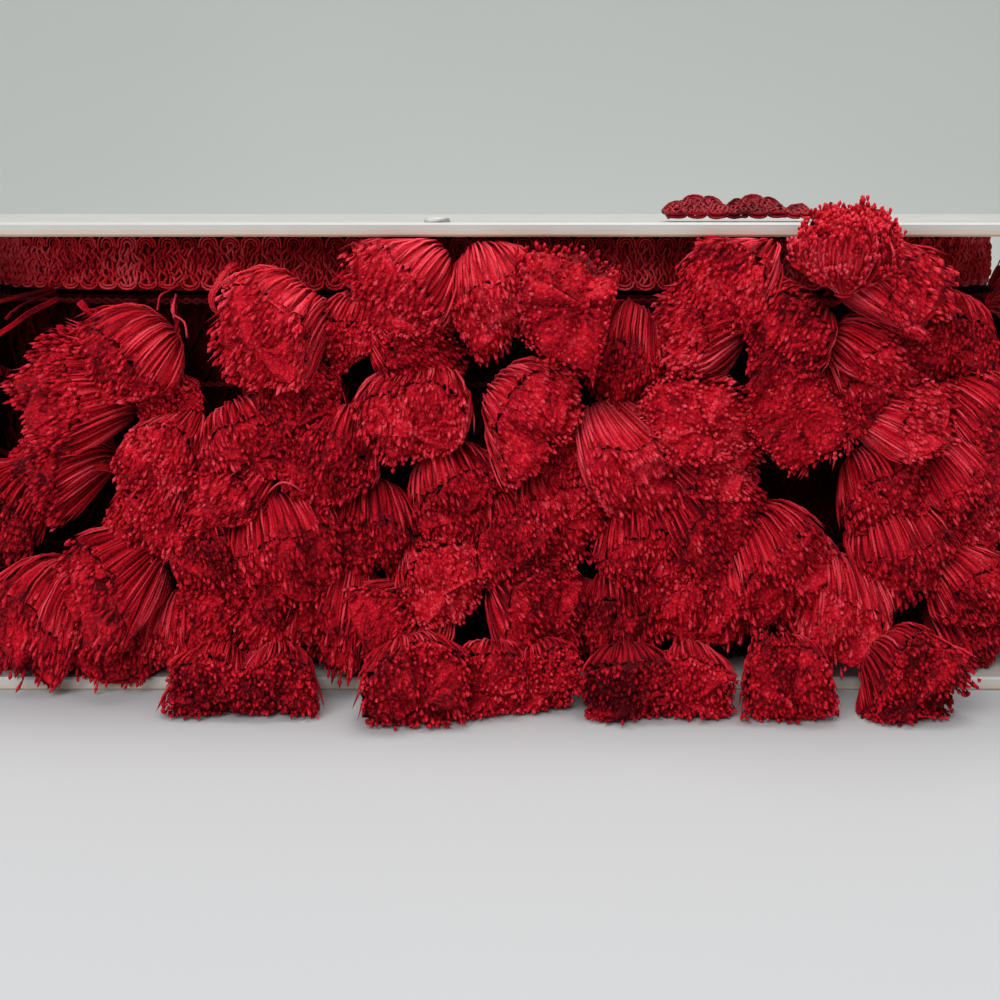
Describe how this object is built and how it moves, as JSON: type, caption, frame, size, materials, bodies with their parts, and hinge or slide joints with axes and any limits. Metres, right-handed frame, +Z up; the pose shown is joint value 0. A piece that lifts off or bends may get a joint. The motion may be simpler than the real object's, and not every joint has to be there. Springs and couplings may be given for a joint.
{
  "type": "roll of tassel fringe trim on a flat reel",
  "caption": "Flat reel with long boards, wound with scalloped braid and netting that carry rows of flared cut-yarn tassels, its loose end lying on top.",
  "frame": {"origin": "under the middle of the lower board, where it rests", "axes": "+Z up, +X along the reel's length, -Y towards the front where the loose end lies"},
  "size_m": [0.3265, 0.1889, 0.1179],
  "materials": {
    "reel_board": "smooth white coating with a cream core at the rim",
    "heading_braid": "dark red twisted rayon braid with a soft shine",
    "netting": "dark red knotted yarn netting in shade",
    "tassel_yarn": "crimson cut yarn with fuzzy ends"
  },
  "bodies": {
    "root": {"board_lower": "reel_board", "board_upper": "reel_board", "netting_roll": "netting", "heading_roll": "heading_braid", "loose_end": "heading_braid", "tassels_1_front_left": "tassel_yarn", "tassels_1_front_right": "tassel_yarn", "tassels_1_right_end": "tassel_yarn", "tassels_1_back_right": "tassel_yarn", "tassels_1_back_left": "tassel_yarn", "tassels_1_left_end": "tassel_yarn", "tassels_2_front_left": "tassel_yarn", "tassels_2_front_right": "tassel_yarn", "tassels_2_right_end": "tassel_yarn", "tassels_2_back_right": "tassel_yarn", "tassels_2_back_left": "tassel_yarn", "tassels_2_left_end": "tassel_yarn", "tassels_3_front_left": "tassel_yarn", "tassels_3_front_right": "tassel_yarn", "tassels_3_right_end": "tassel_yarn", "tassels_3_back_right": "tassel_yarn", "tassels_3_back_left": "tassel_yarn", "tassels_3_left_end": "tassel_yarn", "tassels_4_front_left": "tassel_yarn", "tassels_4_front_right": "tassel_yarn", "tassels_4_right_end": "tassel_yarn", "tassels_4_back_right": "tassel_yarn", "tassels_4_back_left": "tassel_yarn", "tassels_4_left_end": "tassel_yarn", "tassels_5_front_left": "tassel_yarn", "tassels_5_front_right": "tassel_yarn", "tassels_5_right_end": "tassel_yarn", "tassels_5_back_right": "tassel_yarn", "tassels_5_back_left": "tassel_yarn", "tassels_5_left_end": "tassel_yarn"}
  },
  "joints": []
}
